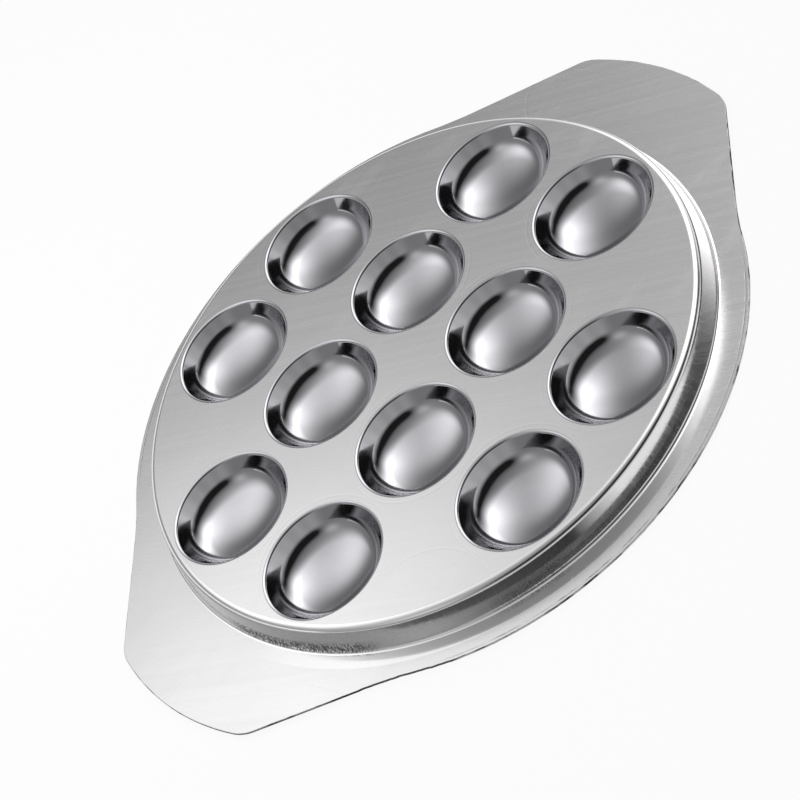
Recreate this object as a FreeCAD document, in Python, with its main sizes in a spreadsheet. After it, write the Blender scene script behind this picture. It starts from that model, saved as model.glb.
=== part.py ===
# Escargot plate, pressed from one blank of stainless sheet.
# A raised round deck carries twelve round wells. The flat flange round
# the deck's foot runs out into a handle at each end.
# Millimetres. +Z is up, +Y runs from handle to handle, and the origin is
# under the plate's centre, on the surface that the wells stand on.
import FreeCAD, Part
import math
import os
import Sketcher

doc = FreeCAD.newDocument("EscargotPlate")

# Driving dimensions
sizes = [
    ("sheetThickness", "0.7"),
    ("wellMouthWidth", "39.8"),      # across a mouth, where its lip leaves the deck
    ("wellLand", "4.2"),             # flat deck between two mouths in a row
    ("wellDepth", "10.5"),           # deck surface to the well's inner bottom
    ("wellSlope", "62"),             # degrees from level of the well's straight wall
    ("wellBendRadius", "9.5"),       # from the well's wall into its bottom
    ("wellDishRadius", "36"),        # the well's shallow bottom
    ("lipInside", "0.5"),            # inside radius of the lip's bend
    ("deckMargin", "0.6"),           # flat deck outside the outermost mouths
    ("deckRise", "9.3"),             # deck surface above flange surface
    ("rimBendInside", "1.5"),        # inside radius of the bend at the deck's edge
    ("footBendInside", "1.2"),       # inside radius of the bend at the wall's foot
    ("wallDraft", "12"),             # degrees that the wall leans out from upright
    ("flangeWidth", "8.4"),          # foot of the wall to the round edge
    ("handleReach", "20.4"),         # round edge to the handle's tip
    ("handleEndRadius", "92"),       # bow of the handle's end
    ("handleCornerRadius", "13"),
    ("flankAngle", "42"),            # degrees from +X to the square of a handle's flank
    ("flankInset", "1.7"),           # how far the flank's line cuts into the round
    ("shoulderRadius", "130"),       # hollow blend of the round into the flank
]

# Sizes that follow from them. The outermost wells lie half a pitch and
# one and a half pitches from the centre, which is sqrt(2.5) pitches.
derived = [
    ("wellPitch", "=wellMouthWidth + wellLand"),
    ("deckHeight", "=wellDepth + sheetThickness"),
    ("flatRadius", "=sqrt(2.5) * wellPitch + wellMouthWidth / 2 + deckMargin"),
    ("bendSum", "=rimBendInside + sheetThickness + footBendInside"),
    ("wallLength", "=(deckRise - bendSum * (1 - sin(wallDraft))) / cos(wallDraft)"),
    ("footRadius", "=flatRadius + bendSum * cos(wallDraft) + wallLength * sin(wallDraft)"),
    ("flangeRadius", "=footRadius + flangeWidth"),
    ("handleTip", "=flangeRadius + handleReach"),
]

sheet = doc.addObject("Spreadsheet::Sheet", "Sizes")
for row, (alias, content) in enumerate(sizes + derived, start=1):
    sheet.set("A%d" % row, alias)
    sheet.set("B%d" % row, content)
    sheet.setAlias("B%d" % row, alias)
doc.recompute()


def size(alias):
    return float(sheet.get(alias))


body = doc.addObject("PartDesign::Body", "Plate")
body.Label = "plate"


def originFeature(role):
    return next(f for f in body.Origin.OriginFeatures if f.Role == role)


# A sketch on one of the body's origin planes, moved by expressions along
# the sketch's own axes. On the XZ plane its y is +Z and its z is -Y.
def addSketch(name, plane, **moves):
    sketch = body.newObject("Sketcher::SketchObject", name)
    sketch.AttachmentSupport = [(originFeature(plane), "")]
    sketch.MapMode = "FlatFace"
    for axis, formula in moves.items():
        sketch.setExpression(".AttachmentOffset.Base." + axis, formula)
    return sketch


def point(x, y):
    return FreeCAD.Vector(x, y, 0)


def addLine(sketch, start, end):
    return sketch.addGeometry(Part.LineSegment(start, end), False)


# Anticlockwise, from one angle in degrees to the other.
def addArc(sketch, centre, radius, start, end):
    circle = Part.Circle(centre, FreeCAD.Vector(0, 0, 1), radius)
    arc = Part.ArcOfCircle(circle, math.radians(start), math.radians(end))
    return sketch.addGeometry(arc, False)


def constrain(sketch, *rows):
    for row in rows:
        sketch.addConstraint(Sketcher.Constraint(*row))


# A named dimension that an expression drives.
def dimension(sketch, name, formula, kind, *refs):
    value = sheet.evalExpression(formula)
    value = float(getattr(value, "Value", value))
    if kind == "Angle":
        value = math.radians(value)
    index = sketch.addConstraint(Sketcher.Constraint(kind, *refs, value))
    sketch.renameConstraint(index, name)
    sketch.setExpression("Constraints." + name, formula)


# Sketcher's names for a point of an edge, and for the sketch's own axes
START, END, CENTRE = 1, 2, 3
XAXIS, YAXIS = -1, -2
ORIGIN = (-1, 1)


# The sheet's section from the axis to the wall's foot: deck, bend at the
# deck's edge, leaning wall and foot bend, all one sheet thick.
def drawPressSection(sketch):
    t = size("sheetThickness")
    flat = size("flatRadius")
    foot = size("footRadius")
    rise = size("deckRise")
    rimInside = size("rimBendInside")
    footInside = size("footBendInside")
    lean = size("wallDraft")
    out = point(math.cos(math.radians(lean)), math.sin(math.radians(lean)))
    rimCentre = point(flat, -t - rimInside)
    footCentre = point(foot, footInside - rise)

    deckTop = addLine(sketch, point(0, 0), point(flat, 0))
    rimTop = addArc(sketch, rimCentre, rimInside + t, lean, 90)
    wallTop = addLine(sketch, rimCentre + out * (rimInside + t), footCentre - out * footInside)
    footTop = addArc(sketch, footCentre, footInside, 180 + lean, 270)
    footEdge = addLine(sketch, point(foot, -rise), point(foot, -rise - t))
    footUnder = addArc(sketch, footCentre, footInside + t, 180 + lean, 270)
    wallUnder = addLine(sketch, footCentre - out * (footInside + t), rimCentre + out * rimInside)
    rimUnder = addArc(sketch, rimCentre, rimInside, lean, 90)
    deckUnder = addLine(sketch, point(flat, -t), point(0, -t))
    axis = addLine(sketch, point(0, -t), point(0, 0))

    constrain(
        sketch,
        ("Coincident", deckTop, START, *ORIGIN),
        ("Horizontal", deckTop),
        ("Tangent", deckTop, END, rimTop, END),
        ("Tangent", rimTop, START, wallTop, START),
        ("Tangent", wallTop, END, footTop, START),
        ("Coincident", footTop, END, footEdge, START),
        ("Vertical", footEdge),
        ("Vertical", footTop, END, footTop, CENTRE),
        ("Coincident", footEdge, END, footUnder, END),
        ("Coincident", footTop, CENTRE, footUnder, CENTRE),
        ("Tangent", footUnder, START, wallUnder, START),
        ("Tangent", wallUnder, END, rimUnder, START),
        ("Coincident", rimTop, CENTRE, rimUnder, CENTRE),
        ("Tangent", rimUnder, END, deckUnder, START),
        ("Coincident", deckUnder, END, axis, START),
        ("Coincident", axis, END, deckTop, START),
        ("Vertical", axis),
    )
    dimension(sketch, "flatRadius", "Sizes.flatRadius", "DistanceX", *ORIGIN, deckTop, END)
    dimension(sketch, "footRadius", "Sizes.footRadius", "DistanceX", *ORIGIN, footTop, END)
    dimension(sketch, "deckRise", "Sizes.deckRise", "DistanceY", footTop, END, *ORIGIN)
    dimension(sketch, "sheetThickness", "Sizes.sheetThickness", "Distance", axis)
    dimension(sketch, "footThickness", "Sizes.sheetThickness", "Distance", footEdge)
    dimension(sketch, "rimBendInside", "Sizes.rimBendInside", "Radius", rimUnder)
    dimension(sketch, "footBendInside", "Sizes.footBendInside", "Radius", footTop)


# One quarter of the flange, from the foot of the wall to the sheared edge.
def drawFlangeQuarter(sketch):
    foot = size("footRadius")
    outer = size("flangeRadius")
    tip = size("handleTip")
    endRadius = size("handleEndRadius")
    corner = size("handleCornerRadius")
    shoulder = size("shoulderRadius")
    square = size("flankAngle")
    reach = outer - size("flankInset")
    normal = point(math.cos(math.radians(square)), math.sin(math.radians(square)))
    along = point(-normal.y, normal.x)

    # centre of the hollow blend: outside the round and outside the flank
    aside = reach + shoulder
    shoulderCentre = normal * aside + along * math.sqrt((outer + shoulder) ** 2 - aside ** 2)
    blendAngle = math.degrees(math.atan2(shoulderCentre.y, shoulderCentre.x))

    # centre of the corner: inside the flank and inside the bowed end
    endCentre = point(0, tip - endRadius)
    inset = normal * (reach - corner)
    toEnd = endCentre - inset
    run = toEnd.dot(along)
    cornerCentre = inset + along * (run + math.sqrt((endRadius - corner) ** 2 - toEnd.dot(normal) ** 2))
    turn = cornerCentre - endCentre
    endAngle = math.degrees(math.atan2(turn.y, turn.x))

    sideLine = addLine(sketch, point(foot, 0), point(outer, 0))
    roundEdge = addArc(sketch, point(0, 0), outer, 0, blendAngle)
    blend = addArc(sketch, shoulderCentre, shoulder, 180 + square, 180 + blendAngle)
    flank = addLine(sketch, shoulderCentre - normal * shoulder, cornerCentre + normal * corner)
    cornerEdge = addArc(sketch, cornerCentre, corner, square, endAngle)
    endEdge = addArc(sketch, endCentre, endRadius, endAngle, 90)
    tipLine = addLine(sketch, point(0, tip), point(0, foot))
    footEdge = addArc(sketch, point(0, 0), foot, 0, 90)

    constrain(
        sketch,
        ("Coincident", footEdge, CENTRE, *ORIGIN),
        ("Coincident", roundEdge, CENTRE, *ORIGIN),
        ("Coincident", sideLine, START, footEdge, START),
        ("Coincident", sideLine, END, roundEdge, START),
        ("PointOnObject", sideLine, START, XAXIS),
        ("Horizontal", sideLine),
        ("Tangent", roundEdge, END, blend, END),
        ("Tangent", blend, START, flank, START),
        ("Tangent", flank, END, cornerEdge, START),
        ("Tangent", cornerEdge, END, endEdge, START),
        ("Coincident", endEdge, END, tipLine, START),
        ("PointOnObject", endEdge, CENTRE, YAXIS),
        ("PointOnObject", tipLine, START, YAXIS),
        ("Vertical", tipLine),
        ("Coincident", tipLine, END, footEdge, END),
    )
    dimension(sketch, "footRadius", "Sizes.footRadius", "Radius", footEdge)
    dimension(sketch, "flangeRadius", "Sizes.flangeRadius", "Radius", roundEdge)
    dimension(sketch, "shoulderRadius", "Sizes.shoulderRadius", "Radius", blend)
    dimension(sketch, "cornerRadius", "Sizes.handleCornerRadius", "Radius", cornerEdge)
    dimension(sketch, "endRadius", "Sizes.handleEndRadius", "Radius", endEdge)
    dimension(sketch, "handleTip", "Sizes.handleTip", "DistanceY", *ORIGIN, tipLine, START)
    dimension(sketch, "flankReach", "Sizes.flangeRadius - Sizes.flankInset", "Distance", *ORIGIN, flank)
    dimension(sketch, "flankAngle", "(Sizes.flankAngle + 90) * 1 deg", "Angle", flank)


# The deck's sheet inside one mouth, which the cup replaces.
def drawMouth(sketch):
    half = size("wellMouthWidth") / 2
    t = size("sheetThickness")
    top = addLine(sketch, point(0, 0), point(half, 0))
    edge = addLine(sketch, point(half, 0), point(half, -t))
    under = addLine(sketch, point(half, -t), point(0, -t))
    axis = addLine(sketch, point(0, -t), point(0, 0))
    constrain(
        sketch,
        ("Coincident", top, END, edge, START),
        ("Coincident", edge, END, under, START),
        ("Coincident", under, END, axis, START),
        ("Coincident", axis, END, top, START),
        ("Coincident", top, START, *ORIGIN),
        ("Horizontal", top),
        ("Vertical", edge),
        ("Horizontal", under),
        ("Vertical", axis),
    )
    dimension(sketch, "mouthRadius", "Sizes.wellMouthWidth / 2", "Distance", top)
    dimension(sketch, "sheetThickness", "Sizes.sheetThickness", "Distance", edge)


# One well's section: the lip turns down from the deck into a straight
# leaning wall, which bends into a shallow round bottom.
def drawCup(sketch):
    half = size("wellMouthWidth") / 2
    t = size("sheetThickness")
    depth = size("wellDepth")
    lipInside = size("lipInside")
    lipTop = lipInside + t
    bend = size("wellBendRadius")
    dish = size("wellDishRadius")
    slope = size("wellSlope")
    steep = math.radians(slope)
    lean = point(math.sin(steep), -math.cos(steep))
    lipCentre = point(half, -lipTop)
    dishCentre = point(0, dish - depth)

    # centre of the bend: off the wall by its radius and inside the bottom's
    # round by the same, which gives the slope where the two arcs meet
    reach = (lipCentre.dot(lean) - lipTop - bend - dishCentre.dot(lean)) / (dish - bend)
    meet = slope - math.degrees(math.acos(reach))
    turn = point(math.sin(math.radians(meet)), -math.cos(math.radians(meet)))
    bendCentre = dishCentre + turn * (dish - bend)

    lipOver = addArc(sketch, lipCentre, lipTop, 90, 90 + slope)
    wallOver = addLine(sketch, lipCentre - lean * lipTop, bendCentre + lean * bend)
    bendOver = addArc(sketch, bendCentre, bend, meet - 90, slope - 90)
    dishOver = addArc(sketch, dishCentre, dish, -90, meet - 90)
    axis = addLine(sketch, point(0, -depth), point(0, -depth - t))
    dishUnder = addArc(sketch, dishCentre, dish + t, -90, meet - 90)
    bendUnder = addArc(sketch, bendCentre, bend + t, meet - 90, slope - 90)
    wallUnder = addLine(sketch, bendCentre + lean * (bend + t), lipCentre - lean * lipInside)
    lipUnder = addArc(sketch, lipCentre, lipInside, 90, 90 + slope)
    mouth = addLine(sketch, point(half, 0), point(half, -t))

    constrain(
        sketch,
        ("Tangent", lipOver, END, wallOver, START),
        ("Tangent", wallOver, END, bendOver, END),
        ("Tangent", bendOver, START, dishOver, END),
        ("Coincident", dishOver, START, axis, START),
        ("Coincident", axis, END, dishUnder, START),
        ("Tangent", dishUnder, END, bendUnder, START),
        ("Tangent", bendUnder, END, wallUnder, START),
        ("Tangent", wallUnder, END, lipUnder, END),
        ("Coincident", mouth, START, lipOver, START),
        ("Coincident", mouth, END, lipUnder, START),
        ("Coincident", lipOver, CENTRE, lipUnder, CENTRE),
        ("Coincident", bendOver, CENTRE, bendUnder, CENTRE),
        ("Coincident", dishOver, CENTRE, dishUnder, CENTRE),
        ("Vertical", mouth),
        ("Vertical", lipOver, START, lipOver, CENTRE),
        ("PointOnObject", lipOver, START, XAXIS),
        ("PointOnObject", dishOver, CENTRE, YAXIS),
        ("PointOnObject", dishOver, START, YAXIS),
        ("Vertical", axis),
    )
    dimension(sketch, "mouthRadius", "Sizes.wellMouthWidth / 2", "DistanceX", *ORIGIN, lipOver, START)
    dimension(sketch, "lipInside", "Sizes.lipInside", "Radius", lipUnder)
    dimension(sketch, "sheetThickness", "Sizes.sheetThickness", "Distance", mouth)
    dimension(sketch, "wellDepth", "Sizes.wellDepth", "DistanceY", dishOver, START, *ORIGIN)
    dimension(sketch, "bottomThickness", "Sizes.sheetThickness", "Distance", axis)
    dimension(sketch, "bendRadius", "Sizes.wellBendRadius", "Radius", bendOver)
    dimension(sketch, "dishRadius", "Sizes.wellDishRadius", "Radius", dishOver)
    dimension(sketch, "wellSlope", "(Sizes.wellSlope - 180) * 1 deg", "Angle", wallOver)


def revolve(kind, name, sketch):
    feature = body.newObject("PartDesign::" + kind, name)
    feature.Profile = (sketch, [""])
    feature.ReferenceAxis = (sketch, ["V_Axis"])
    feature.Angle = 360
    sketch.Visibility = False
    body.Tip = feature
    doc.recompute()
    return feature


# Deck and wall
section = addSketch("PressSection", "XZ_Plane", y="Sizes.deckHeight")
drawPressSection(section)
revolve("Revolution", "DeckAndWall", section)

# Flange, a quarter padded and mirrored to both sides
outline = addSketch(
    "FlangeQuarter", "XY_Plane", z="Sizes.deckHeight - Sizes.deckRise - Sizes.sheetThickness"
)
drawFlangeQuarter(outline)
quarter = body.newObject("PartDesign::Pad", "FlangePad")
quarter.Profile = (outline, [""])
quarter.setExpression("Length", "Sizes.sheetThickness")
body.Tip = quarter
doc.recompute()

flange = body.newObject("PartDesign::MultiTransform", "Flange")
mirrors = []
for name, plane in (("AcrossX", "YZ_Plane"), ("AcrossY", "XZ_Plane")):
    mirror = body.newObject("PartDesign::Mirrored", name)
    mirror.MirrorPlane = (originFeature(plane), [""])
    mirrors.append(mirror)
flange.Originals = [quarter]
flange.Transformations = mirrors
body.Tip = flange
doc.recompute()

# Wells: three in one corner of the grid, turned to all four corners.
# Their places are in half pitches.
seeds = [(1, 1), (3, 1), (1, 3)]
wellFeatures = []
for number, (column, row) in enumerate(seeds, start=1):
    moves = {
        "x": "Sizes.wellPitch * %d / 2" % column,
        "y": "Sizes.deckHeight",
        "z": "-Sizes.wellPitch * %d / 2" % row,
    }
    mouthSketch = addSketch("MouthSketch%d" % number, "XZ_Plane", **moves)
    drawMouth(mouthSketch)
    wellFeatures.append(revolve("Groove", "Mouth%d" % number, mouthSketch))
    cupSketch = addSketch("CupSketch%d" % number, "XZ_Plane", **moves)
    drawCup(cupSketch)
    wellFeatures.append(revolve("Revolution", "Cup%d" % number, cupSketch))

wells = body.newObject("PartDesign::PolarPattern", "Wells")
wells.Originals = wellFeatures
wells.Axis = (originFeature("Z_Axis"), [""])
wells.Angle = 360
wells.Occurrences = 4
body.Tip = wells
doc.recompute()

for obj in doc.Objects:
    if "Invalid" in obj.State or "Error" in obj.State:
        raise RuntimeError("%s failed: %s" % (obj.Name, obj.State))
    if obj.TypeId == "Sketcher::SketchObject" and obj.solve() != 0:
        raise RuntimeError("%s has no solution" % obj.Name)
shape = body.Shape
if shape.isNull() or not shape.isValid() or len(shape.Solids) != 1:
    raise RuntimeError("the plate isn't one valid solid")

os.makedirs("parts", exist_ok=True)
shape.exportStep("parts/%s.step" % body.Label)
box = shape.optimalBoundingBox(False)
print("plate %.2f x %.2f x %.2f mm, %.0f mm3" % (box.XLength, box.YLength, box.ZLength, shape.Volume))
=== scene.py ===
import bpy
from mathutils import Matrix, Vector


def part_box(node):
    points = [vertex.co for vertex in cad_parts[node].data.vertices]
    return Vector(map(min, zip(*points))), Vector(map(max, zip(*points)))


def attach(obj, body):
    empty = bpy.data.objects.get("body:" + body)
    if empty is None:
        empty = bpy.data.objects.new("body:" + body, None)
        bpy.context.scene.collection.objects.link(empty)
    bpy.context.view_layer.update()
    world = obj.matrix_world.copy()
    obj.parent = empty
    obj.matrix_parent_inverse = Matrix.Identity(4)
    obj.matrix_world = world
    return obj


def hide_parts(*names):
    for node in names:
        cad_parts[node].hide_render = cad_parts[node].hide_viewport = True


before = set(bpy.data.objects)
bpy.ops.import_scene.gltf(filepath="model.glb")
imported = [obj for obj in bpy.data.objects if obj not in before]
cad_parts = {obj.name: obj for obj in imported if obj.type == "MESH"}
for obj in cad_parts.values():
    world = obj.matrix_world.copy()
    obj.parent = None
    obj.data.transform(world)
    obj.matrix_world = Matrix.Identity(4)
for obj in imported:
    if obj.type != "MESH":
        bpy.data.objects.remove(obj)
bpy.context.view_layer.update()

import math
import random

import bpy
from mathutils import Matrix, Vector

mm = 0.001


def linear(hexColour):  # sRGB hex to linear RGBA
    channels = [int(hexColour[i:i + 2], 16) / 255 for i in (1, 3, 5)]
    return tuple(c / 12.92 if c <= 0.04045 else ((c + 0.055) / 1.055) ** 2.4 for c in channels) + (1.0,)


# Adds a node, sets its properties, and fills its inputs with values or links.
# A node given as a value stands for its first output, and a list links several
# sources into one input.
def addNode(tree, kind, inputs=None, **settings):
    node = tree.nodes.new(kind)
    for name, value in settings.items():
        setattr(node, name, value)
    for key, value in (inputs or {}).items():
        for source in value if isinstance(value, list) else [value]:
            if isinstance(source, bpy.types.Node):
                source = source.outputs[0]
            if isinstance(source, bpy.types.NodeSocket):
                tree.links.new(source, node.inputs[key])
            else:
                node.inputs[key].default_value = source
    return node


def newMaterial(name):  # empty, its nodes are still to come
    material = bpy.data.materials.new(name)
    material.use_nodes = True
    material.node_tree.nodes.clear()
    return material


def addPiece(name, mesh):  # or a camera in place of the mesh
    piece = bpy.data.objects.new(name, mesh)
    bpy.context.scene.collection.objects.link(piece)
    return piece


# Plate, sizes in millimetres as in the solid

low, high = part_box("plate")
plate = {
    "deckTop": high.z / mm,
    "flangeRadius": high.x / mm,
    "handleTip": high.y / mm,
    "sheet": 0.7,
    "pitch": 44.0,
    "mouthRadius": 19.9,
    "wellDepth": 10.5,
    "wellSlope": 62.0,         # degrees from level of a well's straight wall
    "wellBend": 9.5,           # radius from the wall into the bottom
    "wellDish": 36.0,          # radius of the shallow bottom
    "lipRadius": 1.2,          # top of the lip's bend
    "deckMargin": 0.6,         # flat strip between the outer wells and the deck's edge
    "rise": 9.3,
    "rimRadius": 2.2,          # top of the bend at the deck's edge
    "footRadius": 1.2,
    "wallDraft": 12.0,         # degrees from upright
    "flangeWidth": 8.4,
    "endRadius": 92.0,         # bowed end of a handle
    "cornerRadius": 13.0,
    "flankAngle": 42.0,        # azimuth square to a handle's straight side
    "flankInset": 1.7,
    "shoulderRadius": 130.0,
    "rollover": 0.22,          # round corner that the shears leave on top
    "nibble": 0.07,            # how far the sheared line wanders inwards
    "tornNibble": 0.3,         # the same on the torn stretch by the lower handle
    "tornReach": (-63, -43),   # azimuths of that stretch
    "seed": 7,
    "edgeStep": 1.0,           # between points along the sheared edge
    "weld": 0.01,              # points nearer than this become one
    "aroundWell": 80,
    "aroundWall": 288,
    "steps": {"lip": 8, "slope": 4, "bend": 10, "dish": 10, "foot": 8, "wall": 6, "rim": 10, "rollover": 6},
}
plate["wallFoot"] = plate["flangeRadius"] - plate["flangeWidth"]
plate["flatRadius"] = math.sqrt(2.5) * plate["pitch"] + plate["mouthRadius"] + plate["deckMargin"]
plate["flangeTop"] = plate["deckTop"] - plate["rise"]


# Points of an arc as (x, y, facing x, facing y). The face looks away from
# the arc's centre, or to it where the arc is hollow.
def arcRows(centre, radius, start, end, steps, hollow=False):
    rows = []
    sign = -1 if hollow else 1
    for i in range(steps + 1):
        angle = math.radians(start + (end - start) * i / steps)
        c, s = math.cos(angle), math.sin(angle)
        rows.append((centre[0] + radius * c, centre[1] + radius * s, sign * c, sign * s))
    return rows


def lineRows(first, last, steps):  # points strictly between two rows, facing as the first
    rows = []
    for i in range(1, steps):
        share = i / steps
        x, y = (start + (end - start) * share for start, end in zip(first[:2], last[:2]))
        rows.append((x, y, first[2], first[3]))
    return rows


# One well from its mouth to its bottom: lip, straight wall, bend and shallow bottom
def cupRows():
    lip, bend, dish, slope = plate["lipRadius"], plate["wellBend"], plate["wellDish"], plate["wellSlope"]
    steps = plate["steps"]
    steep = math.radians(slope)
    lean = Vector((math.sin(steep), -math.cos(steep)))
    lipCentre = Vector((plate["mouthRadius"], plate["deckTop"] - lip))
    dishCentre = Vector((0, plate["deckTop"] - plate["wellDepth"] + dish))
    reach = ((lipCentre - dishCentre).dot(lean) - lip - bend) / (dish - bend)
    meet = slope - math.degrees(math.acos(reach))
    turn = Vector((math.sin(math.radians(meet)), -math.cos(math.radians(meet))))
    over = arcRows(lipCentre, lip, 90, 90 + slope, steps["lip"])
    bendCentre = dishCentre + turn * (dish - bend)
    corner = arcRows(bendCentre, bend, slope - 90, meet - 90, steps["bend"], hollow=True)
    bottom = arcRows(dishCentre, dish, meet - 90, -90, steps["dish"], hollow=True)
    return over + lineRows(over[-1], corner[0], steps["slope"]) + corner + bottom[1:]


# Leaning wall from its foot on the flange up to the flat of the deck
def wallRows():
    lean, foot, rim = plate["wallDraft"], plate["footRadius"], plate["rimRadius"]
    steps = plate["steps"]
    footCentre = (plate["wallFoot"], plate["flangeTop"] + foot)
    rimCentre = (plate["flatRadius"], plate["deckTop"] - rim)
    lower = arcRows(footCentre, foot, 270, 180 + lean, steps["foot"], hollow=True)
    upper = arcRows(rimCentre, rim, lean, 90, steps["rim"])
    return lower + lineRows(lower[-1], upper[0], steps["wall"]) + upper


# Sheared edge from the underside to the top, outwards of the outline: a torn
# lower face, drawn point by point, under the round corner
def edgeRows():
    roll, top = plate["rollover"], plate["flangeTop"]
    under = top - plate["sheet"]
    torn = [
        (-roll, under, 0, -1),
        (-0.07, under, 0.3, -0.95),
        (-0.01, under + 0.05, 1, 0),
        (-0.05, under + 0.16, 1, 0),
        (-0.04, under + 0.26, 1, 0),
        (0, under + 0.31, 1, 0),
    ]
    return torn + arcRows((-roll, top - roll), roll, 0, 90, plate["steps"]["rollover"])


# A quarter of the outline: round edge, hollow shoulder, flank, corner and bowed end
def outlineQuarter():
    outer, tip = plate["flangeRadius"], plate["handleTip"]
    shoulder, corner, end = plate["shoulderRadius"], plate["cornerRadius"], plate["endRadius"]
    flank = plate["flankAngle"]
    square = math.radians(flank)
    reach = outer - plate["flankInset"]
    normal = Vector((math.cos(square), math.sin(square)))
    along = Vector((-normal.y, normal.x))
    aside = reach + shoulder
    shoulderCentre = normal * aside + along * math.sqrt((outer + shoulder) ** 2 - aside ** 2)
    blend = math.degrees(math.atan2(shoulderCentre.y, shoulderCentre.x))
    endCentre = Vector((0, tip - end))
    inset = normal * (reach - corner)
    toEnd = endCentre - inset
    slide = math.sqrt((end - corner) ** 2 - toEnd.dot(normal) ** 2)
    cornerCentre = inset + along * (toEnd.dot(along) + slide)
    turn = cornerCentre - endCentre
    endAngle = math.degrees(math.atan2(turn.y, turn.x))
    flankEnd = cornerCentre + normal * corner

    def steps(length):
        return max(2, round(length / plate["edgeStep"]))

    def arcSteps(radius, degrees):
        return steps(radius * math.radians(abs(degrees)))

    rows = arcRows((0, 0), outer, 0, blend, arcSteps(outer, blend))
    rows += arcRows(shoulderCentre, shoulder, 180 + blend, 180 + flank,
                    arcSteps(shoulder, blend - flank), hollow=True)[1:]
    length = (flankEnd - Vector(rows[-1][:2])).length
    rows += lineRows(rows[-1], (flankEnd.x, flankEnd.y), steps(length))
    rows += arcRows(cornerCentre, corner, flank, endAngle, 2 * arcSteps(corner, endAngle - flank))
    rows += arcRows(endCentre, end, endAngle, 90, arcSteps(end, 90 - endAngle))[1:]
    return rows


# The whole outline, whose sheared line wanders a little inwards
def outlineRows():
    quarter = outlineQuarter()
    half = quarter + [(-x, y, -fx, fy) for x, y, fx, fy in reversed(quarter[:-1])]
    rows = half[:-1] + [(-x, -y, -fx, -fy) for x, y, fx, fy in half[:-1]]
    wander = random.Random(plate["seed"])
    dips = [wander.random() for row in rows]
    start, end = plate["tornReach"]
    for i, (x, y, fx, fy) in enumerate(rows):
        isTorn = start < math.degrees(math.atan2(y, x)) < end
        depth = plate["tornNibble"] if isTorn else plate["nibble"]
        dip = depth * (dips[i] + dips[i - 1] + dips[i - 2]) / 3 * wander.random()
        rows[i] = (x - fx * dip, y - fy * dip, fx, fy)
    return rows


# A helper object of loose edges that carries a facing direction and the
# distance run per point. A section stands in XZ, an outline lies in XY.
def guide(name, rows, flat=False):
    points = [(x * mm, y * mm, 0) if flat else (x * mm, 0, y * mm) for x, y, fx, fy in rows]
    facings = [(fx, fy, 0) if flat else (fx, 0, fy) for x, y, fx, fy in rows]
    edges = [(i, i + 1) for i in range(len(rows) - 1)]
    if flat:
        edges.append((len(rows) - 1, 0))
    mesh = bpy.data.meshes.new(name)
    mesh.from_pydata(points, edges, [])
    travelled = [0.0]
    for before, after in zip(points, points[1:]):
        travelled.append(travelled[-1] + math.dist(before, after))
    mesh.attributes.new("facing", "FLOAT_VECTOR", "POINT")
    mesh.attributes.new("run", "FLOAT", "POINT")
    flatFacings = [part for facing in facings for part in Vector(facing).normalized()]
    mesh.attributes["facing"].data.foreach_set("vector", flatFacings)
    mesh.attributes["run"].data.foreach_set("value", travelled)
    return addPiece(name, mesh)


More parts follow.
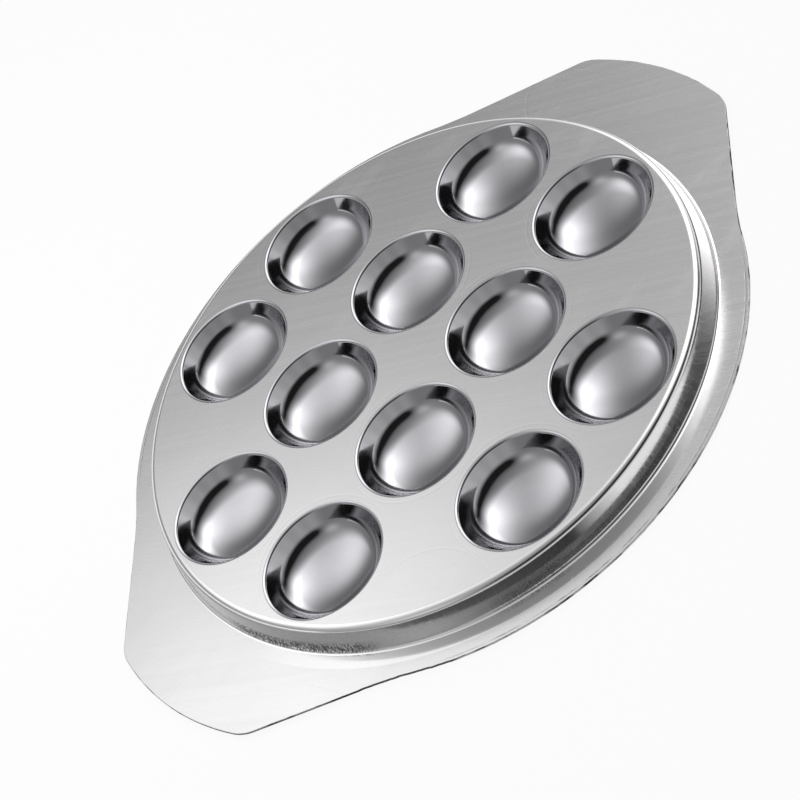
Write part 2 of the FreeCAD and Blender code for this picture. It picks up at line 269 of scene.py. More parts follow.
# Node group: sweeps a section round a closed path whose points carry "facing".
# The result carries "pressFacing", the true direction of the surface, and
# "flow": round the path in x and y, along the section in z.
def sweepGroup():
    tree = bpy.data.node_groups.new("sweepSection", "GeometryNodeTree")
    for name in ("Path", "Section"):
        tree.interface.new_socket(name, in_out="INPUT", socket_type="NodeSocketGeometry")
    tree.interface.new_socket("Mesh", in_out="OUTPUT", socket_type="NodeSocketGeometry")
    given = addNode(tree, "NodeGroupInput").outputs
    path, section = given["Path"], given["Section"]
    around, rows = (
        addNode(tree, "GeometryNodeAttributeDomainSize", {"Geometry": shape}).outputs["Point Count"]
        for shape in (path, section))
    closed = addNode(tree, "FunctionNodeIntegerMath", {0: around, 1: 1}, operation="ADD")
    grid = addNode(tree, "GeometryNodeMeshGrid", {"Vertices X": closed, "Vertices Y": rows})
    index = addNode(tree, "GeometryNodeInputIndex")
    strip = addNode(tree, "FunctionNodeIntegerMath", {0: index, 1: rows}, operation="DIVIDE_FLOOR")
    column = addNode(tree, "FunctionNodeIntegerMath", {0: strip, 1: around}, operation="MODULO")
    row = addNode(tree, "FunctionNodeIntegerMath", {0: index, 1: rows}, operation="MODULO")

    # what the path says at a column and the section at a row
    fields = {"position": addNode(tree, "GeometryNodeInputPosition")}
    kinds = {"position": "FLOAT_VECTOR", "facing": "FLOAT_VECTOR", "base": "FLOAT_VECTOR", "run": "FLOAT"}
    for name in ("facing", "base", "run"):
        fields[name] = addNode(tree, "GeometryNodeInputNamedAttribute", {"Name": name}, data_type=kinds[name])
    read = []
    for shape, name, place in (
            (path, "facing", column), (path, "base", column),
            (section, "position", row), (section, "facing", row), (section, "run", row)):
        read.append(addNode(tree, "GeometryNodeSampleIndex",
                            {"Geometry": shape, "Value": fields[name], "Index": place},
                            data_type=kinds[name], domain="POINT"))
    outwards, start, profile, turned, length = read

    def stand(vector):  # a section's vector on the path: across it in x, up in z
        parts = addNode(tree, "ShaderNodeSeparateXYZ", {0: vector}).outputs
        side = addNode(tree, "ShaderNodeVectorMath", {0: outwards, 3: parts[0]}, operation="SCALE")
        rise = addNode(tree, "ShaderNodeCombineXYZ", {2: parts[2]})
        return addNode(tree, "ShaderNodeVectorMath", {0: side, 1: rise}, operation="ADD")

    place = addNode(tree, "ShaderNodeVectorMath", {0: start, 1: stand(profile)}, operation="ADD")
    mesh = addNode(tree, "GeometryNodeSetPosition", {"Geometry": grid, "Position": place})
    split = addNode(tree, "ShaderNodeSeparateXYZ", {0: outwards}).outputs
    flow = addNode(tree, "ShaderNodeCombineXYZ", {0: split[0], 1: split[1], 2: length})
    flow = addNode(tree, "GeometryNodeFieldOnDomain", {"Value": flow},
                   data_type="FLOAT_VECTOR", domain="POINT")
    for name, value, domain in (("pressFacing", stand(turned), "POINT"), ("flow", flow, "CORNER")):
        mesh = addNode(tree, "GeometryNodeStoreNamedAttribute",
                       {"Geometry": mesh, "Name": name, "Value": value},
                       data_type="FLOAT_VECTOR", domain=domain)
    addNode(tree, "NodeGroupOutput", {"Mesh": mesh})
    return tree


# Node tree of the plate. Each material goes to a region: 0 flat sheet, 1 drawn
# wells and wall, 2 sheared edge.
def plateTree(materials):
    tree = bpy.data.node_groups.new("pressedPlate", "GeometryNodeTree")
    sockets = {
        "Geometry": ("Geometry",),
        "Object": ("Outline", "Cup", "Wall", "Edge"),
        "Float": ("Pitch", "Mouth Radius", "Flat Radius", "Wall Foot", "Deck Top", "Flange Top", "Sheet",
                  "Rollover", "Weld"),
        "Int": ("Around Well", "Around Wall"),
    }
    for kind, names in sockets.items():
        for name in names:
            tree.interface.new_socket(name, in_out="INPUT", socket_type="NodeSocket" + kind)
    tree.interface.new_socket("Geometry", in_out="OUTPUT", socket_type="NodeSocketGeometry")
    given = addNode(tree, "NodeGroupInput").outputs
    place = addNode(tree, "GeometryNodeInputPosition")
    sweep = sweepGroup()
    shapes = {
        name: addNode(tree, "GeometryNodeObjectInfo", {"Object": given[name]}).outputs["Geometry"]
        for name in sockets["Object"]}

    def turning(count):  # a path that only turns about the origin
        path = addNode(tree, "GeometryNodeMeshCircle", {"Vertices": given[count], "Radius": 1.0})
        for name, value in (("facing", place), ("base", (0.0, 0.0, 0.0))):
            path = addNode(tree, "GeometryNodeStoreNamedAttribute",
                           {"Geometry": path, "Name": name, "Value": value},
                           data_type="FLOAT_VECTOR", domain="POINT")
        return path

    def filled(borders, height):  # a flat sheet between loops, looking up
        curves = addNode(tree, "GeometryNodeJoinGeometry", {0: borders})
        flat = addNode(tree, "GeometryNodeFillCurve", {0: curves})
        lift = addNode(tree, "ShaderNodeCombineXYZ", {2: height})
        raised = addNode(tree, "GeometryNodeSetPosition", {"Geometry": flat, "Offset": lift})
        return addNode(tree, "GeometryNodeStoreNamedAttribute",
                       {"Geometry": raised, "Name": "pressFacing", "Value": (0.0, 0.0, 1.0)},
                       data_type="FLOAT_VECTOR", domain="POINT")

    # the twelve places of the wells: a grid of sixteen without its corners, which
    # are the only ones more than two pitches from the middle
    side = addNode(tree, "ShaderNodeMath", {0: given["Pitch"], 1: 3.0}, operation="MULTIPLY")
    sixteen = addNode(tree, "GeometryNodeMeshGrid",
                      {"Size X": side, "Size Y": side, "Vertices X": 4, "Vertices Y": 4})
    away = addNode(tree, "ShaderNodeVectorMath", {0: place}, operation="LENGTH").outputs["Value"]
    far = addNode(tree, "ShaderNodeMath", {0: given["Pitch"], 1: 2.0}, operation="MULTIPLY")
    corner = addNode(tree, "FunctionNodeCompare", {0: away, 1: far},
                     data_type="FLOAT", operation="GREATER_THAN")
    twelve = addNode(tree, "GeometryNodeDeleteGeometry", {"Geometry": sixteen, "Selection": corner},
                     domain="POINT")

    def atWells(shape):
        spread = addNode(tree, "GeometryNodeInstanceOnPoints", {"Points": twelve, "Instance": shape})
        return addNode(tree, "GeometryNodeRealizeInstances", {0: spread})

    loops = []
    for count, radius in (
            ("Around Well", "Mouth Radius"), ("Around Wall", "Flat Radius"), ("Around Wall", "Wall Foot")):
        circle = addNode(tree, "GeometryNodeMeshCircle", {"Vertices": given[count], "Radius": given[radius]})
        loops.append(addNode(tree, "GeometryNodeMeshToCurve", {"Mesh": circle}))
    mouth, deckEdge, wallFoot = loops
    deck = filled([deckEdge, atWells(mouth)], given["Deck Top"])

    # the flange ends a rolled corner's width inside the outline, where the edge takes over
    facing = addNode(tree, "GeometryNodeInputNamedAttribute", {"Name": "facing"},
                     data_type="FLOAT_VECTOR")
    inwards = addNode(tree, "ShaderNodeMath", {0: given["Rollover"], 1: -1.0}, operation="MULTIPLY")
    inset = addNode(tree, "ShaderNodeVectorMath", {0: facing, 3: inwards}, operation="SCALE")
    rim = addNode(tree, "GeometryNodeSetPosition", {"Geometry": shapes["Outline"], "Offset": inset})
    rim = addNode(tree, "GeometryNodeMeshToCurve", {"Mesh": rim})
    flange = filled([rim, wallFoot], given["Flange Top"])
    outline = addNode(tree, "GeometryNodeStoreNamedAttribute",
                      {"Geometry": shapes["Outline"], "Name": "base", "Value": place},
                      data_type="FLOAT_VECTOR", domain="POINT")

    swept = []
    for name, path in (("Cup", turning("Around Well")), ("Wall", turning("Around Wall")), ("Edge", outline)):
        swept.append(addNode(tree, "GeometryNodeGroup", {"Path": path, "Section": shapes[name]},
                             node_tree=sweep))
    cup, wall, edge = swept
    parts = []
    for part, region in ((deck, 0), (atWells(cup), 1), (wall, 1), (flange, 0), (edge, 2)):
        parts.append(addNode(tree, "GeometryNodeStoreNamedAttribute",
                             {"Geometry": part, "Name": "region", "Value": region},
                             data_type="INT", domain="FACE"))

    # the underside is the same sheet, a sheet's thickness below and looking down
    top = addNode(tree, "GeometryNodeJoinGeometry", {0: parts[:-1]})
    pressed = addNode(tree, "GeometryNodeInputNamedAttribute", {"Name": "pressFacing"},
                      data_type="FLOAT_VECTOR")
    down = addNode(tree, "ShaderNodeMath", {0: given["Sheet"], 1: -1.0}, operation="MULTIPLY")
    through = addNode(tree, "ShaderNodeVectorMath", {0: pressed, 3: down}, operation="SCALE")
    lowered = addNode(tree, "GeometryNodeSetPosition", {"Geometry": top, "Offset": through})
    turned = addNode(tree, "GeometryNodeFlipFaces", {0: lowered})
    reverse = addNode(tree, "ShaderNodeVectorMath", {0: pressed, 3: -1.0}, operation="SCALE")
    underside = addNode(tree, "GeometryNodeStoreNamedAttribute",
                        {"Geometry": turned, "Name": "pressFacing", "Value": reverse},
                        data_type="FLOAT_VECTOR", domain="POINT")

    whole = addNode(tree, "GeometryNodeJoinGeometry", {0: [top, underside, parts[-1]]})
    whole = addNode(tree, "GeometryNodeMergeByDistance", {0: whole, "Distance": given["Weld"]})
    whole = addNode(tree, "GeometryNodeSetShadeSmooth", {0: whole})
    whole = addNode(tree, "GeometryNodeRealizeInstances", {0: whole})
    region = addNode(tree, "GeometryNodeInputNamedAttribute", {"Name": "region"}, data_type="INT")
    for number, material in enumerate(materials):
        same = addNode(tree, "FunctionNodeCompare", {2: region, 3: number},
                       data_type="INT", operation="EQUAL")
        whole = addNode(tree, "GeometryNodeSetMaterial",
                        {"Geometry": whole, "Selection": same, "Material": material})
    addNode(tree, "NodeGroupOutput", {0: whole})
    return tree


def makePlate(materials):
    guides = {
        "Outline": guide("outlineGuide", outlineRows(), flat=True),
        "Cup": guide("cupGuide", cupRows()),
        "Wall": guide("wallGuide", wallRows()),
        "Edge": guide("edgeGuide", edgeRows()),
    }
    blank = addPiece("plateBlank", bpy.data.meshes.new("plateBlank"))
    press = blank.modifiers.new("press", "NODES")
    press.node_group = plateTree(materials)
    for item in press.node_group.interface.items_tree:
        key = item.name[0].lower() + item.name[1:].replace(" ", "")  # Deck Top is deckTop in the dictionary
        if item.name in guides:
            press[item.identifier] = guides[item.name]
        elif key in plate:
            press[item.identifier] = plate[key] * (mm if item.socket_type == "NodeSocketFloat" else 1)

    made = blank.evaluated_get(bpy.context.evaluated_depsgraph_get())
    mesh = bpy.data.meshes.new_from_object(made)
    for helper in list(guides.values()) + [blank]:
        bpy.data.objects.remove(helper)
    facings = [item.vector.normalized() for item in mesh.attributes["pressFacing"].data]
    mesh.normals_split_custom_set_from_vertices(facings)
    mesh.attributes.remove(mesh.attributes["pressFacing"])
    print("pressed sheet", len(mesh.vertices), "points", len(mesh.polygons), "faces")
    return addPiece("pressedSheet", mesh)


# Steels, sizes and depths of patterns in millimetres. A span is the part of a
# noise, between 0 and 1, over which a pattern comes in.

noiseSpan = (0.3, 0.7)         # nearly all of a noise lies between these


# Soft noise with grains of a given size. Where a span of it is given, the
# result is 0 below the span and 1 above it.
def grain(tree, source, size, turn=0.0, detail=2.0, span=None):
    place = addNode(tree, "ShaderNodeMapping",
                    {"Vector": source, "Rotation": (0, 0, math.radians(turn)),
                     "Scale": tuple(length * mm for length in size)},
                    vector_type="TEXTURE")
    noise = addNode(tree, "ShaderNodeTexNoise", {"Vector": place, "Scale": 1.0, "Detail": detail})
    if span:
        noise = addNode(tree, "ShaderNodeMapRange",
                        {"Value": noise, "From Min": span[0], "From Max": span[1]})
    return noise


# A share where a value is from low to high, fading to 0 over the fades below and above
def within(tree, value, low, high, fades, share=1.0):
    rise = addNode(tree, "ShaderNodeMapRange",
                   {"Value": value, "From Min": low - fades[0], "From Max": low, "To Max": share})
    return addNode(tree, "ShaderNodeMapRange",
                   {"Value": value, "From Min": high + fades[1], "From Max": high, "To Max": rise})


# A point's place on the plate, its distance from the handles' axis and from the
# middle, and its azimuth
def bearings(tree):
    place = addNode(tree, "ShaderNodeTexCoord").outputs["Object"]
    split = addNode(tree, "ShaderNodeSeparateXYZ", {0: place}).outputs
    level = addNode(tree, "ShaderNodeCombineXYZ", {0: split[0], 1: split[1]})
    return {
        "place": place,
        "aside": addNode(tree, "ShaderNodeMath", {0: split[0]}, operation="ABSOLUTE"),
        "radius": addNode(tree, "ShaderNodeVectorMath", {0: level}, operation="LENGTH").outputs["Value"],
        "azimuth": addNode(tree, "ShaderNodeMath", {0: split[1], 1: split[0]}, operation="ARCTAN2"),
    }


# The metal itself: a colour with others laid over it by their shares, a
# roughness, and reliefs, each a height with its depth
def dressSteel(tree, base, layers, roughness, reliefs):
    tone = linear(base)
    for share, colour in layers:
        mixed = addNode(tree, "ShaderNodeMix", {0: share, 6: tone, 7: linear(colour)}, data_type="RGBA")
        tone = mixed.outputs[2]
    normal = addNode(tree, "ShaderNodeNewGeometry").outputs["Normal"]
    for height, depth in reliefs:
        normal = addNode(tree, "ShaderNodeBump",
                         {"Strength": 1.0, "Distance": depth * mm, "Height": height, "Normal": normal})
    metal = addNode(tree, "ShaderNodeBsdfPrincipled",
                    {"Base Color": tone, "Metallic": 1.0, "Roughness": roughness, "Normal": normal})
    addNode(tree, "ShaderNodeOutputMaterial", {"Surface": metal})


satin = {
    "turn": 34.0,                      # degrees from X to the way the sheet was rolled
    "grain": (18.0, 0.16, 0.16),       # real lines are about 0.03 wide, too fine to show
    "bands": (120.0, 2.2, 2.2),
    "clouds": (38.0, 38.0, 38.0),
    "smears": (26.0, 9.0, 9.0),
    "smearTurn": 84.0,
    "smearSpan": (0.56, 0.72),
    "scratches": (34.0, 0.22, 0.22),
    "scratchTurn": 13.0,
    "scratchSpan": (0.735, 0.765),
    "waves": (22.0, 22.0, 22.0),
    "press": (21.6, 0.1, 0.35),        # radius, half width and fade of the blank holder's mark round a well
    "pressSpan": (0.5, 0.62),
    "line": (1.1, 0.08, 0.2),          # the same of the line inside the round edge, from that edge
    "lineSpan": (0.35, 0.6),
    "lineEnds": (70.0, 78.0),          # the line starts between these distances from the handles' axis
    "burnish": 4.0,                    # width of the strip on the flange that the press polishes
    "burnishFades": (1.0, 0.3),
    "burnishReach": (-60.0, 0.0),      # azimuths
    "burnishEnds": 0.4,                # radians over which the strip fades out
    "tones": ("#D0CFD1", "#D9D8D8"),
    # painted shade: the colour that darkens the pressed line
    "lineTone": "#7D7B7C",
    "lineShare": 0.55,                 # how much of that colour the line takes
    "roughness": (0.25, 0.28),         # between and on the rolled lines
    "dulling": {"bands": 0.02, "smears": 0.04, "scratches": 0.08},
    "polish": 0.6,                     # share of the roughness that the burnished strip loses
    "depths": {"grain": 0.0005, "waves": 0.05, "press": -0.012, "line": -0.03, "scratches": -0.002},
}


# Satin rolled stainless steel: fine lines all one way blur reflections into a soft grey
# sheen, with faint clouds and smears, and a faint ring round each well
def makeSatinSteel():
    material = newMaterial("satin rolled stainless steel")
    tree = material.node_tree
    at = bearings(tree)
    place = at["place"]
    lines = grain(tree, place, satin["grain"], satin["turn"], 3.0)
    bands = grain(tree, place, satin["bands"], satin["turn"])
    clouds = grain(tree, place, satin["clouds"], detail=3.0)
    waves = grain(tree, place, satin["waves"])
    smears = grain(tree, place, satin["smears"], satin["smearTurn"], 4.0, satin["smearSpan"])
    scratches = grain(tree, place, satin["scratches"], satin["scratchTurn"], 1.0, satin["scratchSpan"])

    # the nearest well's centre is the middle of a square tile of one pitch
    pitch = plate["pitch"] * mm
    tile = addNode(tree, "ShaderNodeVectorMath", {0: place, 1: (pitch, pitch, pitch), 2: (0.0, 0.0, 0.0)},
                   operation="WRAP")
    flat = addNode(tree, "ShaderNodeVectorMath", {0: tile, 1: (1.0, 1.0, 0.0)}, operation="MULTIPLY")
    fromWell = addNode(tree, "ShaderNodeVectorMath", {0: flat, 1: (pitch / 2, pitch / 2, 0.0)},
                       operation="DISTANCE").outputs["Value"]
    middle, half, fade = (size * mm for size in satin["press"])
    start, end = satin["pressSpan"]
    patchy = addNode(tree, "ShaderNodeMapRange", {"Value": clouds, "From Min": start, "From Max": end})
    ring = within(tree, fromWell, middle - half, middle + half, (fade, fade), share=patchy)

    # line pressed just inside the round edge, not across the handles, its colour darkened there as painted
    # shade in the groove
    inset, half, fade = (size * mm for size in satin["line"])
    middle = plate["flangeRadius"] * mm - inset
    start, end = satin["lineSpan"]
    broken = addNode(tree, "ShaderNodeMapRange", {"Value": bands, "From Min": start, "From Max": end})
    start, end = satin["lineEnds"]
    beside = addNode(tree, "ShaderNodeMapRange",
                     {"Value": at["aside"], "From Min": start * mm, "From Max": end * mm, "To Max": broken})
    line = within(tree, at["radius"], middle - half, middle + half, (fade, fade), share=beside)

    # the press burnishes the flange beside the wall's foot
    foot, wide, fades = plate["wallFoot"], satin["burnish"], satin["burnishFades"]
    start, end = (math.radians(angle) for angle in satin["burnishReach"])
    ends = satin["burnishEnds"]
    strip = within(tree, at["radius"], foot * mm, (foot + wide) * mm, [size * mm for size in fades])
    strip = within(tree, at["azimuth"], start, end, (ends, ends), share=strip)

    start, end = noiseSpan
    least, most = satin["roughness"]
    rough = addNode(tree, "ShaderNodeMapRange",
                    {"Value": lines, "From Min": start, "From Max": end, "To Min": least, "To Max": most})
    banding = addNode(tree, "ShaderNodeMapRange",
                      {"Value": bands, "From Min": start, "From Max": end, "To Min": -1.0, "To Max": 1.0})
    for name, pattern in (("bands", banding), ("smears", smears), ("scratches", scratches)):
        rough = addNode(tree, "ShaderNodeMath", {0: pattern, 1: satin["dulling"][name], 2: rough},
                        operation="MULTIPLY_ADD")
    polish = addNode(tree, "ShaderNodeMath", {0: strip, 1: -satin["polish"], 2: 1.0},
                     operation="MULTIPLY_ADD")
    rough = addNode(tree, "ShaderNodeMath", {0: rough, 1: polish}, operation="MULTIPLY")
    # painted shade along the pressed line
    shadeAndMarkShare = addNode(tree, "ShaderNodeMath", {0: line, 1: satin["lineShare"]}, operation="MULTIPLY")
    heights = {"grain": lines, "waves": waves, "press": ring, "line": line, "scratches": scratches}
    first, second = satin["tones"]
    dressSteel(tree, first, [(clouds, second), (shadeAndMarkShare, satin["lineTone"])], rough,
               [(heights[name], depth) for name, depth in satin["depths"].items()])
    return material


drawn = {
    "wallStreaks": (0.0042, 9.0),      # turn in radians, length
    "wellStreaks": (0.07, 7.0),        # real hair lines are finer than a pixel, so these are wider
    "clouds": (9.0, 9.0, 9.0),
    "dents": (3.5, 3.5, 3.5),
    "streakSpan": (0.35, 0.65),
    "pits": (0.34, 0.34, 0.34),
    "pitSpan": (0.6, 0.68),
    "clusterSpan": (0.42, 0.6),
    "pitBand": (1.5, 2.6),             # way up the wall from the flange
    "pitFades": (0.25, 0.25),
    "dragStrokes": (0.0045, 1.1),
    "dragSpan": (0.44, 0.53),
    "dragBand": (0.9, 3.4),
    "dragFades": (0.5, 1.6),
    "dragPlaces": [(-73.0, 18.0, 1.0), (-27.0, 8.0, 0.5)],   # azimuth, half width in degrees, share
    "dragCore": 0.7,                   # part of a place's half width without a fade
    # painted shade: the wells' colour is darker than the deck's, and varies at random between these two tones
    "wellTones": ("#A8A7AB", "#B3B2B5"),
    # painted highlight: the wall is the same steel as the wells, made lighter so that its reflections come
    # out white
    "wallTone": "#E2E1E1",
    "markTone": "#55514E",
    "markShare": 0.85,                 # how much of that colour the marks take
    "wellRoughness": (0.07, 0.1),
    "wallRoughness": (0.07, 0.16),
    "markDulling": 0.3,
    "depths": {"wall": 0.015, "well": 0.002, "dents": 0.004, "marks": -0.012},
}


# Drawn and polished stainless steel: the tool burnishes the wells and the wall to near
# mirrors with hair lines down them; torn patches and pits stay low on the wall
def makeDrawnSteel():
    material = newMaterial("drawn and polished stainless steel")
    tree = material.node_tree
    at = bearings(tree)
    place = at["place"]
    flow = addNode(tree, "ShaderNodeAttribute", attribute_name="flow").outputs["Vector"]
    up = addNode(tree, "ShaderNodeSeparateXYZ", {0: flow}).outputs[2]
    deckEdge = (plate["flatRadius"] - 0.1) * mm
    onWall = addNode(tree, "ShaderNodeMath", {0: at["radius"], 1: deckEdge}, operation="GREATER_THAN")
    inWell = addNode(tree, "ShaderNodeMath", {0: 1.0, 1: onWall}, operation="SUBTRACT")

    def streaks(size, detail, span=None):  # narrow round the path, long across it
        turn, length = size
        return grain(tree, flow, (turn / mm, turn / mm, length), detail=detail, span=span)

    clouds = grain(tree, place, drawn["clouds"], detail=3.0)
    dents = grain(tree, place, drawn["dents"])

    # strokes in patches low on the wall, where the sheet dragged on the tool
    patches = 0.0
    for azimuth, half, share in drawn["dragPlaces"]:
        middle, half = math.radians(azimuth), math.radians(half)
        core = half * drawn["dragCore"]
        patch = within(tree, at["azimuth"], middle - core, middle + core, (half - core, half - core), share)
        patches = addNode(tree, "ShaderNodeMath", {0: patch, 1: patches}, operation="ADD")
    strokes = streaks(drawn["dragStrokes"], 3.0, drawn["dragSpan"])

    # clusters of pits above the foot
    start, end = drawn["clusterSpan"]
    clusters = addNode(tree, "ShaderNodeMapRange", {"Value": clouds, "From Min": start, "From Max": end})
    pits = grain(tree, place, drawn["pits"], span=drawn["pitSpan"])

    # both lie in bands along the wall
    marks = 0.0
    for name, pattern, area in (("drag", strokes, patches), ("pit", pits, clusters)):
        low, high = (size * mm for size in drawn[name + "Band"])
        band = within(tree, up, low, high, [size * mm for size in drawn[name + "Fades"]], share=area)
        band = addNode(tree, "ShaderNodeMath", {0: band, 1: onWall}, operation="MULTIPLY")
        marks = addNode(tree, "ShaderNodeMath", {0: pattern, 1: band, 2: marks}, operation="MULTIPLY_ADD")

    # roughness and relief of the streaks, on the wall and in the wells
    rough = 0.0
    start, end = drawn["streakSpan"]
    heights = {"dents": dents, "marks": marks}
    for name, detail, mask in (("wall", 4.0, onWall), ("well", 1.0, inWell)):
        streak = streaks(drawn[name + "Streaks"], detail)
        least, most = drawn[name + "Roughness"]
        dull = addNode(tree, "ShaderNodeMapRange",
                       {"Value": streak, "From Min": start, "From Max": end, "To Min": least, "To Max": most})
        rough = addNode(tree, "ShaderNodeMath", {0: dull, 1: mask, 2: rough}, operation="MULTIPLY_ADD")
        heights[name] = addNode(tree, "ShaderNodeMath", {0: streak, 1: mask}, operation="MULTIPLY")
    rough = addNode(tree, "ShaderNodeMath", {0: marks, 1: drawn["markDulling"], 2: rough},
                    operation="MULTIPLY_ADD")
    shadeAndMarkShare = addNode(tree, "ShaderNodeMath", {0: marks, 1: drawn["markShare"]}, operation="MULTIPLY")
    # the wells' darker colour is painted shade
    first, second = drawn["wellTones"]
    # the wall's lighter colour is a painted highlight
    dressSteel(tree, first, [(clouds, second), (onWall, drawn["wallTone"]), (shadeAndMarkShare, drawn["markTone"])],
               rough, [(heights[name], depth) for name, depth in drawn["depths"].items()])
    return material


sheared = {
    "crumbs": (0.12, 0.12, 0.12),
    "crumbDepth": 0.04,
    "runs": (6.0, 6.0, 1.0),           # bright and dark runs along the edge
    "runSpan": (0.38, 0.5),
    "darkened": 0.85,                  # share of the bright runs that the torn stretch loses
    "tornEnds": 0.03,                  # radians over which that stretch fades out
    # painted shade: the first colour is far darker than steel so the edge reads as a dark line; the second is
    # the steel's own tone in the runs
    "tones": ("#3E3B39", "#C4C2BF"),
    "roughness": (0.32, 0.6),
}


# Sheared stainless steel: dull and torn, its colour painted dark as painted shade so that the edge is a thin
# dark line, with runs of lighter steel; the torn stretch is painted darker still
def makeShearedSteel():
    material = newMaterial("sheared stainless steel edge")
    tree = material.node_tree
    at = bearings(tree)
    place = at["place"]
    crumbs = grain(tree, place, sheared["crumbs"], detail=3.0)
    runs = grain(tree, place, sheared["runs"], detail=4.0, span=sheared["runSpan"])
    start, end = (math.radians(angle) for angle in plate["tornReach"])
    ends = sheared["tornEnds"]
    # painted shade: the torn stretch loses most of its lighter runs
    dark = within(tree, at["azimuth"], start, end, (ends, ends), share=sheared["darkened"])
    clear = addNode(tree, "ShaderNodeMath", {0: 1.0, 1: dark}, operation="SUBTRACT")
    light = addNode(tree, "ShaderNodeMath", {0: runs, 1: clear}, operation="MULTIPLY")
    start, end = noiseSpan
    least, most = sheared["roughness"]
    rough = addNode(tree, "ShaderNodeMapRange",
                    {"Value": crumbs, "From Min": start, "From Max": end, "To Min": least, "To Max": most})
    first, second = sheared["tones"]
    dressSteel(tree, first, [(light, second)], rough, [(crumbs, sheared["crumbDepth"])])
    return material


steels = [makeSatinSteel(), makeDrawnSteel(), makeShearedSteel()]
print("steels", [steel.name for steel in steels])
sheet = makePlate(steels)
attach(sheet, "root")
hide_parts("plate")


# Camera, as far from the plate and turned as the photograph's

view = {
    "place": (487.96, -157.38, 475.70),
    "aim": (7.41, -13.30, 11.2),
    "roll": 40.88,               # degrees that the picture's top leans to the right
    "lens": 105.2,
    "sensor": 36.0,
    "seesTo": 30.0,              # metres
}


def makeCamera():
    place = Vector(view["place"]) * mm
    ahead = (Vector(view["aim"]) * mm - place).normalized()
    side = ahead.cross(Vector((0, 0, 1))).normalized()
    up = side.cross(ahead)
    lean = math.radians(view["roll"])
    top = up * math.cos(lean) + side * math.sin(lean)
    right = ahead.cross(top)
    data = bpy.data.cameras.new("photoCamera")
    data.lens = view["lens"]
    data.sensor_width = view["sensor"]
    data.clip_end = view["seesTo"]
    camera = addPiece("photoCamera", data)
    camera.matrix_world = Matrix.Translation(place) @ Matrix((right, top, -ahead)).transposed().to_4x4()
    bpy.context.scene.camera = camera
    print("camera", view["lens"], "mm")


makeCamera()


# Studio

# Adds a piece of the studio, hidden from the kinds of ray that are named
def addStage(name, points, faces, material, hidden=()):
    mesh = bpy.data.meshes.new(name)
    mesh.from_pydata(points, [], faces)
    mesh.materials.append(material)
    piece = addPiece(name, mesh)
    for ray in hidden:
        setattr(piece, "visible_" + ray, False)
    return piece


def square(x, y, z, half):
    corners = ((-1, -1), (1, -1), (1, 1), (-1, 1))
    return [((x + i * half) * mm, (y + j * half) * mm, z * mm) for i, j in corners]


def onCircle(radius, angle, z):
    return radius * mm * math.cos(angle), radius * mm * math.sin(angle), z * mm


# Falls from 1 at the centre by the square of the distance
def softBump(tree, place, centre, spread):
    away = addNode(tree, "ShaderNodeVectorMath", {0: place, 1: centre}, operation="DISTANCE").outputs["Value"]
    fall = addNode(tree, "ShaderNodeMath", {0: away, 1: spread}, operation="DIVIDE")
    squared = addNode(tree, "ShaderNodeMath", {0: fall, 1: fall}, operation="MULTIPLY")
    minus = addNode(tree, "ShaderNodeMath", {0: squared, 1: -0.5}, operation="MULTIPLY")
    return addNode(tree, "ShaderNodeMath", {0: minus}, operation="EXPONENT")


# White to the eye and in reflections, where a little of the paint is left for shadows,
# and plain white paint for the light that it sends back
def whiteStage(name, share):
    material = newMaterial(name)
    tree = material.node_tree
    paint = addNode(tree, "ShaderNodeBsdfDiffuse", {"Color": linear("#F2F2F2")})
    glow = addNode(tree, "ShaderNodeEmission", {"Color": linear("#FFFFFF"), "Strength": 1.0})
    rays = addNode(tree, "ShaderNodeLightPath").outputs
    seen = rays["Is Camera Ray"]
    for ray in ("Is Glossy Ray", "Is Transmission Ray"):
        seen = addNode(tree, "ShaderNodeMath", {0: seen, 1: rays[ray]}, operation="MAXIMUM")
    seen = addNode(tree, "ShaderNodeMath", {0: seen, 1: share}, operation="MULTIPLY")
    mixed = addNode(tree, "ShaderNodeMixShader", {0: seen, 1: paint, 2: glow})
    addNode(tree, "ShaderNodeOutputMaterial", {"Surface": mixed})
    return material


floor = {"half": 4000.0, "glow": 0.92}


def makeFloor():
    material = whiteStage("white table top", floor["glow"])
    addStage("floor", square(0, 0, 0, floor["half"]), [(0, 1, 2, 3)], material)


backdrop = {
    "reach": (80, 260),        # azimuths
    "distance": 1500.0,
    "height": 330.0,
    "steps": 24,
    "glow": 1.0,
}


# A white wall that the steel mirrors and the camera doesn't see
def makeBackdrop():
    start, end = backdrop["reach"]
    points, faces = [], []
    for i in range(backdrop["steps"] + 1):
        angle = math.radians(start + (end - start) * i / backdrop["steps"])
        points += [onCircle(backdrop["distance"], angle, z) for z in (0, backdrop["height"])]
        if i:
            faces.append((2 * i - 2, 2 * i, 2 * i + 1, 2 * i - 1))
    addStage("backdrop", points, faces, whiteStage("white backdrop", backdrop["glow"]), hidden=["camera"])


shades = {
    "stops": [                 # azimuth and brightness
        (-130, 0.9), (-105, 0.42), (-64, 0.3), (-50, 0.1), (-16, 0.04), (-3, 0.95),
        (20, 1.0), (31, 0.1), (108, 0.12), (130, 0.9),
    ],
    "reach": (106.0, 190.0),   # from and to radius
    "height": 0.4,
    "step": 3,                 # degrees
}


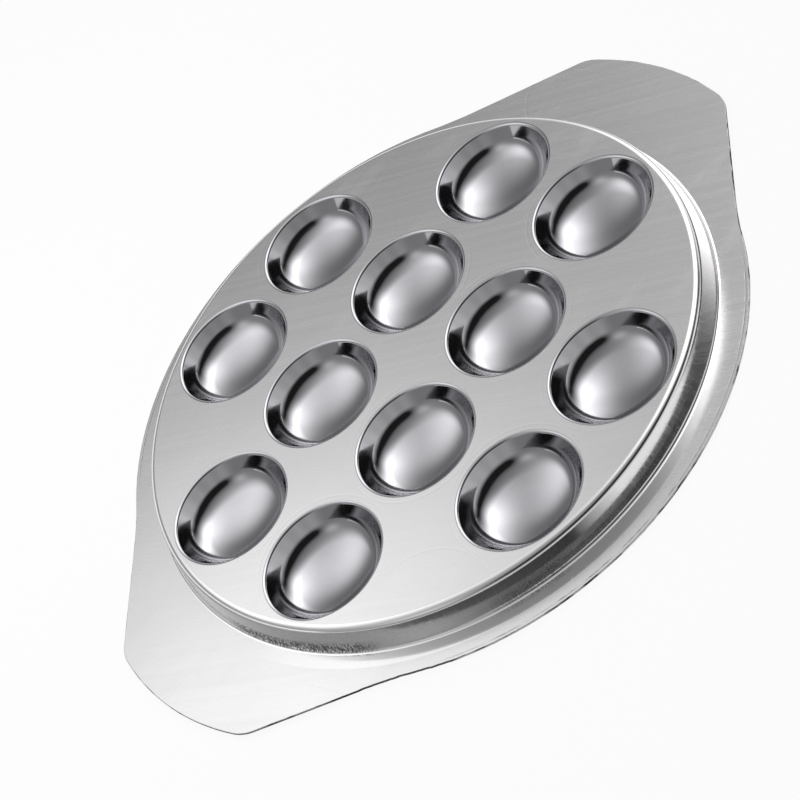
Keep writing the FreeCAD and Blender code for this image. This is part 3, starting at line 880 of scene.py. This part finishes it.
# A graded card on the table round the plate, from white to black, that only the steel mirrors
def makeShades():
    points, faces, tones = [], [], []
    for (start, first), (end, last) in zip(shades["stops"], shades["stops"][1:]):
        steps = max(2, round((end - start) / shades["step"]))
        for i in range(steps):
            share = i / steps
            angle = math.radians(start + (end - start) * share)
            for radius in shades["reach"]:
                points.append(onCircle(radius, angle, shades["height"]))
                tones.append(first + (last - first) * share)
            if len(points) > 2:
                k = len(points)
                faces.append((k - 4, k - 3, k - 1, k - 2))
    material = newMaterial("graded card")
    tree = material.node_tree
    tone = addNode(tree, "ShaderNodeAttribute", attribute_name="tone").outputs["Fac"]
    glow = addNode(tree, "ShaderNodeEmission", {"Color": linear("#FFFFFF"), "Strength": tone})
    addNode(tree, "ShaderNodeOutputMaterial", {"Surface": glow})
    piece = addStage("shades", points, faces, material, hidden=["camera", "diffuse", "shadow"])
    piece.data.attributes.new("tone", "FLOAT", "POINT").data.foreach_set("value", tones)


lamp = {
    "place": (-172.0, -108.0, 230.0),
    "spread": 118.0,
    "edge": 3,                 # spreads from the middle to the edge
    "strength": 1.35,
}


# A soft lamp close above the near left of the plate, which lights the deck unevenly
def makeLamp():
    x, y, z = lamp["place"]
    material = newMaterial("soft overhead lamp")
    tree = material.node_tree
    place = addNode(tree, "ShaderNodeTexCoord").outputs["Object"]
    bump = softBump(tree, place, (x * mm, y * mm, z * mm), lamp["spread"] * mm)
    power = addNode(tree, "ShaderNodeMath", {0: bump, 1: lamp["strength"]}, operation="MULTIPLY")
    glow = addNode(tree, "ShaderNodeEmission", {"Color": linear("#FFFFFF"), "Strength": power})
    clear = addNode(tree, "ShaderNodeBsdfTransparent")
    both = addNode(tree, "ShaderNodeAddShader", {0: glow, 1: clear})
    addNode(tree, "ShaderNodeOutputMaterial", {"Surface": both})
    corners = square(x, y, z, lamp["edge"] * lamp["spread"])
    addStage("card", corners, [(0, 3, 2, 1)], material, hidden=["camera", "shadow"])


room = {
    "base": 0.31,
    "darkest": 0.02,
    "panels": [                # azimuth, elevation, spread in degrees, strength
        (121, 23, 11, 2.3),
        (112, 47, 12, 1.9),
        (92, 52, 12, 1.2),
        (108, 74, 12, 0.5),
        (255, 35, 26, 0.14),
        (172, 40, 14, -0.06),
        (62, 1, 11, 0.9),
        (36, 6, 11, 0.6),
        (10, 9, 10, 0.45),
        (-16, 10, 10, 0.4),
        (-42, 9, 10, 0.3),
        (-72, 37, 9, 0.4),
        (-36, 33, 10, -0.4),
        (-12, 33, 10, -0.45),
        (12, 33, 10, -0.45),
        (36, 31, 10, -0.45),
        (60, 26, 9, -0.4),
        (79, 20, 8, -0.35),
    ],
}


# Soft light from all round, with bright panels, and dark ones where the strength is
# below 0, as the photograph's wells show them. The camera sees plain white.
def makeWorld():
    world = bpy.data.worlds.new("studio")
    bpy.context.scene.world = world
    world.use_nodes = True
    tree = world.node_tree
    tree.nodes.clear()
    ahead = addNode(tree, "ShaderNodeTexCoord").outputs["Generated"]
    total = room["base"]
    for azimuth, elevation, spread, strength in room["panels"]:
        a, e = math.radians(azimuth), math.radians(elevation)
        centre = (math.cos(e) * math.cos(a), math.cos(e) * math.sin(a), math.sin(e))
        bump = softBump(tree, ahead, centre, 2 * math.sin(math.radians(spread) / 2))
        total = addNode(tree, "ShaderNodeMath", {0: bump, 1: strength, 2: total}, operation="MULTIPLY_ADD")
    total = addNode(tree, "ShaderNodeMath", {0: total, 1: room["darkest"]}, operation="MAXIMUM")
    direct = addNode(tree, "ShaderNodeLightPath").outputs["Is Camera Ray"]
    total = addNode(tree, "ShaderNodeMix", {0: direct, 2: total, 3: 1.0}, data_type="FLOAT")
    glow = addNode(tree, "ShaderNodeBackground", {"Color": linear("#FFFFFF"), "Strength": total})
    addNode(tree, "ShaderNodeOutputWorld", {"Surface": glow})


makeFloor()
makeWorld()
makeLamp()
makeBackdrop()
makeShades()
bpy.context.scene.view_settings.view_transform = "Standard"
print("studio", len(room["panels"]), "panels")
